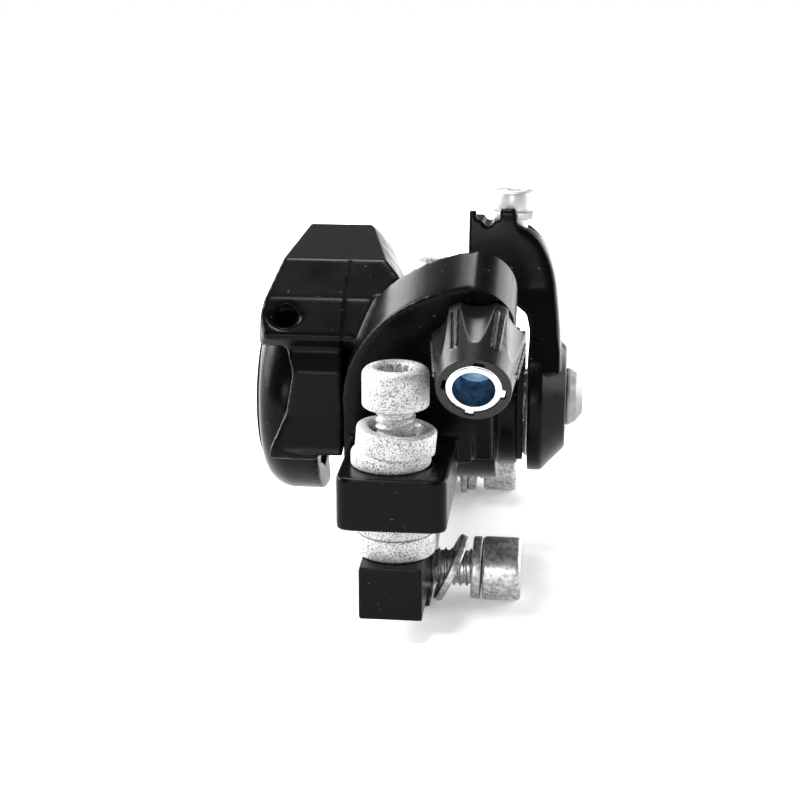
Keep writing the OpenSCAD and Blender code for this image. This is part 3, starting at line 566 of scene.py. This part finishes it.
mount_low, mount_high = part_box("front_mount_bolt")
mount_head_z = mount_high.z - 0.006
for end, side in (("front", -1), ("rear", 1)):
    bolt = cap_screw(f"{end}_post_screw", mount_head_z - mount_low.z, 12, 0.0013, 0.00105)
    bolt.data.transform(Matrix.Rotation(math.radians(9), 4, "Z"))
    bolt.data.transform(Matrix.Translation((post_x, side * post_y, mount_head_z)))
    seat(bolt, f"{end}_mount_bolt", zinc_coat)


# Frame bolts and their loose washers: plain rolled steel, dull and mottled.
def mottled(name, light, dark, roughness):
    """Rolled steel: cloudy grey with small stains."""
    made, shader, place = start_material(name, roughness, 0.9)
    fine = add_noise(made, place, 1500, 6)
    tint = add_ramp(made, fine, [(0.34, dark), (0.62, light)])
    made.node_tree.links.new(tint.outputs["Color"], shader.inputs["Base Color"])
    broad = add_noise(made, place, 500, 3)
    spread = range_of(made, broad.outputs["Fac"], roughness - 0.08, roughness + 0.12)
    made.node_tree.links.new(spread.outputs["Result"], shader.inputs["Roughness"])
    add_bump(made, shader, fine.outputs["Fac"], 0.25, 0.00006)
    return made


rolled_steel = mottled("rolled_steel", (0.66, 0.65, 0.64), (0.3, 0.295, 0.29), 0.38)
frame_y = 0.0255
for end, side in (("front", -1), ("rear", 1)):
    low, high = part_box(f"{end}_frame_bolt")
    bolt = cap_screw(f"{end}_frame_screw", high.x - 0.006 - low.x, 12, 0.0008, 0.001)
    bolt.data.transform(Matrix.Rotation(math.pi / 2, 4, "Y"))
    bolt.data.transform(Matrix.Translation((high.x - 0.006, side * frame_y, 0)))
    seat(bolt, f"{end}_frame_bolt", rolled_steel)
    rounded(f"{end}_thin_washer", f"{end}_thin_ring", 0.00018, 2, rolled_steel)
    rounded(f"{end}_thick_washer", f"{end}_thick_ring", 0.00028, 3, rolled_steel)


# Barrel adjuster: a moulded black knob with six scallops, and a bright zinc-plated insert
# with a blue passivation that shows in its seat.
ribbed_plastic = painted("ribbed_black_plastic", (0.007, 0.007, 0.0075), 0.24, 0.34, 0.12, 0.3)
cast("barrel_knob", "adjuster_knob", 0.00014, 3, 0.6, ribbed_plastic)
silver, silver_shader, silver_place = start_material("bright_plated_insert", 0.22, 1.0)
silver_noise = add_noise(silver, silver_place, 900, 4)
silver_tint = add_ramp(silver, silver_noise, [(0.3, (0.86, 0.89, 0.92)), (0.7, (0.95, 0.96, 0.97))])
silver.node_tree.links.new(silver_tint.outputs["Color"], silver_shader.inputs["Base Color"])
insert = rounded("barrel_screw", "plated_insert", 0.00015, 2, silver)
blue_seat, blue_shader, blue_place = start_material("blue_plated_seat", 0.3, 1.0)
blue_noise = add_noise(blue_seat, blue_place, 1200, 3)
blue_tint = add_ramp(blue_seat, blue_noise, [(0.3, (0.16, 0.25, 0.34)), (0.7, (0.32, 0.46, 0.58))])
blue_seat.node_tree.links.new(blue_tint.outputs["Color"], blue_shader.inputs["Base Color"])
insert.data.materials.append(blue_seat)
seat_r = 0.0034
for face in insert.data.polygons:
    spots = [insert.data.vertices[index].co - knob_spot for index in face.vertices]
    if max((spot - barrel_in * spot.dot(barrel_in)).length for spot in spots) < seat_r:
        face.material_index = 1


# Small steel pieces: the pivot bolt, the clamp plate and its bolt are bright plated steel.
dull_plate = mottled("dull_plate", (0.29, 0.29, 0.295), (0.25, 0.25, 0.255), 0.45)
clean_plate, clean_shader, clean_place = start_material("clean_plate", 0.38, 0.6)
clean_noise = add_noise(clean_plate, clean_place, 700, 2)
clean_tint = add_ramp(clean_plate, clean_noise, [(0.3, (0.50, 0.50, 0.51)), (0.7, (0.6, 0.6, 0.6))])
clean_plate.node_tree.links.new(clean_tint.outputs["Color"], clean_shader.inputs["Base Color"])
cast("arm_pivot_bolt", "pivot_button", 0.00012, 5, 0.7, dull_plate)
rounded("cable_clamp_plate", "clamp_plate", 0.0003, 3, clean_plate)
rounded("cable_clamp_bolt", "clamp_screw", 0.0003, 3, clean_plate)


# Inner pieces and small parts that keep their packed form: each gets the finish of its slot.
ground_steel = mottled("ground_steel", (0.7, 0.7, 0.71), (0.45, 0.45, 0.46), 0.3)
soft_rubber = painted("seal_rubber", (0.012, 0.012, 0.012), 0.55, 0.7, 0.1)
dial_black = painted("dial_black_plastic", (0.012, 0.012, 0.013), 0.35, 0.45, 0.1)
cage_nylon, cage_shader, cage_place = start_material("cage_nylon", 0.5, 0.0)
cage_noise = add_noise(cage_nylon, cage_place, 900, 3)
cage_tint = add_ramp(cage_nylon, cage_noise, [(0.3, (0.5, 0.46, 0.36)), (0.7, (0.62, 0.58, 0.48))])
cage_nylon.node_tree.links.new(cage_tint.outputs["Color"], cage_shader.inputs["Base Color"])
sintered = speckled("sintered_compound", (0.2, 0.16, 0.13), (0.45, 0.33, 0.2), 2200, 0.36)
dial_edge_r = 0.0113
narrow_dial = rounded("adjuster_dial", "wear_dial", 0.0002, 2, dial_black)
for point in narrow_dial.data.vertices:
    reach = math.hypot(point.co.y, point.co.z - axis_z)
    if reach > dial_edge_r:
        point.co.y *= dial_edge_r / reach
        point.co.z = axis_z + (point.co.z - axis_z) * dial_edge_r / reach
finishes = {
    "bright_steel": ground_steel, "seal_rubber": soft_rubber, "dial_plastic": dial_black,
    "cage_plastic": cage_nylon, "friction_compound": sintered, "zinc": zinc_coat,
    "bolt_steel": rolled_steel, "black_paint": satin_black, "bracket_paint": gloss_black,
    "ribbed_plastic": ribbed_plastic, "silver_insert": silver,
}
for part in frame["record"]["subparts"]:
    body = frame["nodes"][part["node"]].data
    for index in range(len(body.materials)):
        body.materials[index] = finishes[part["material_slot"]]
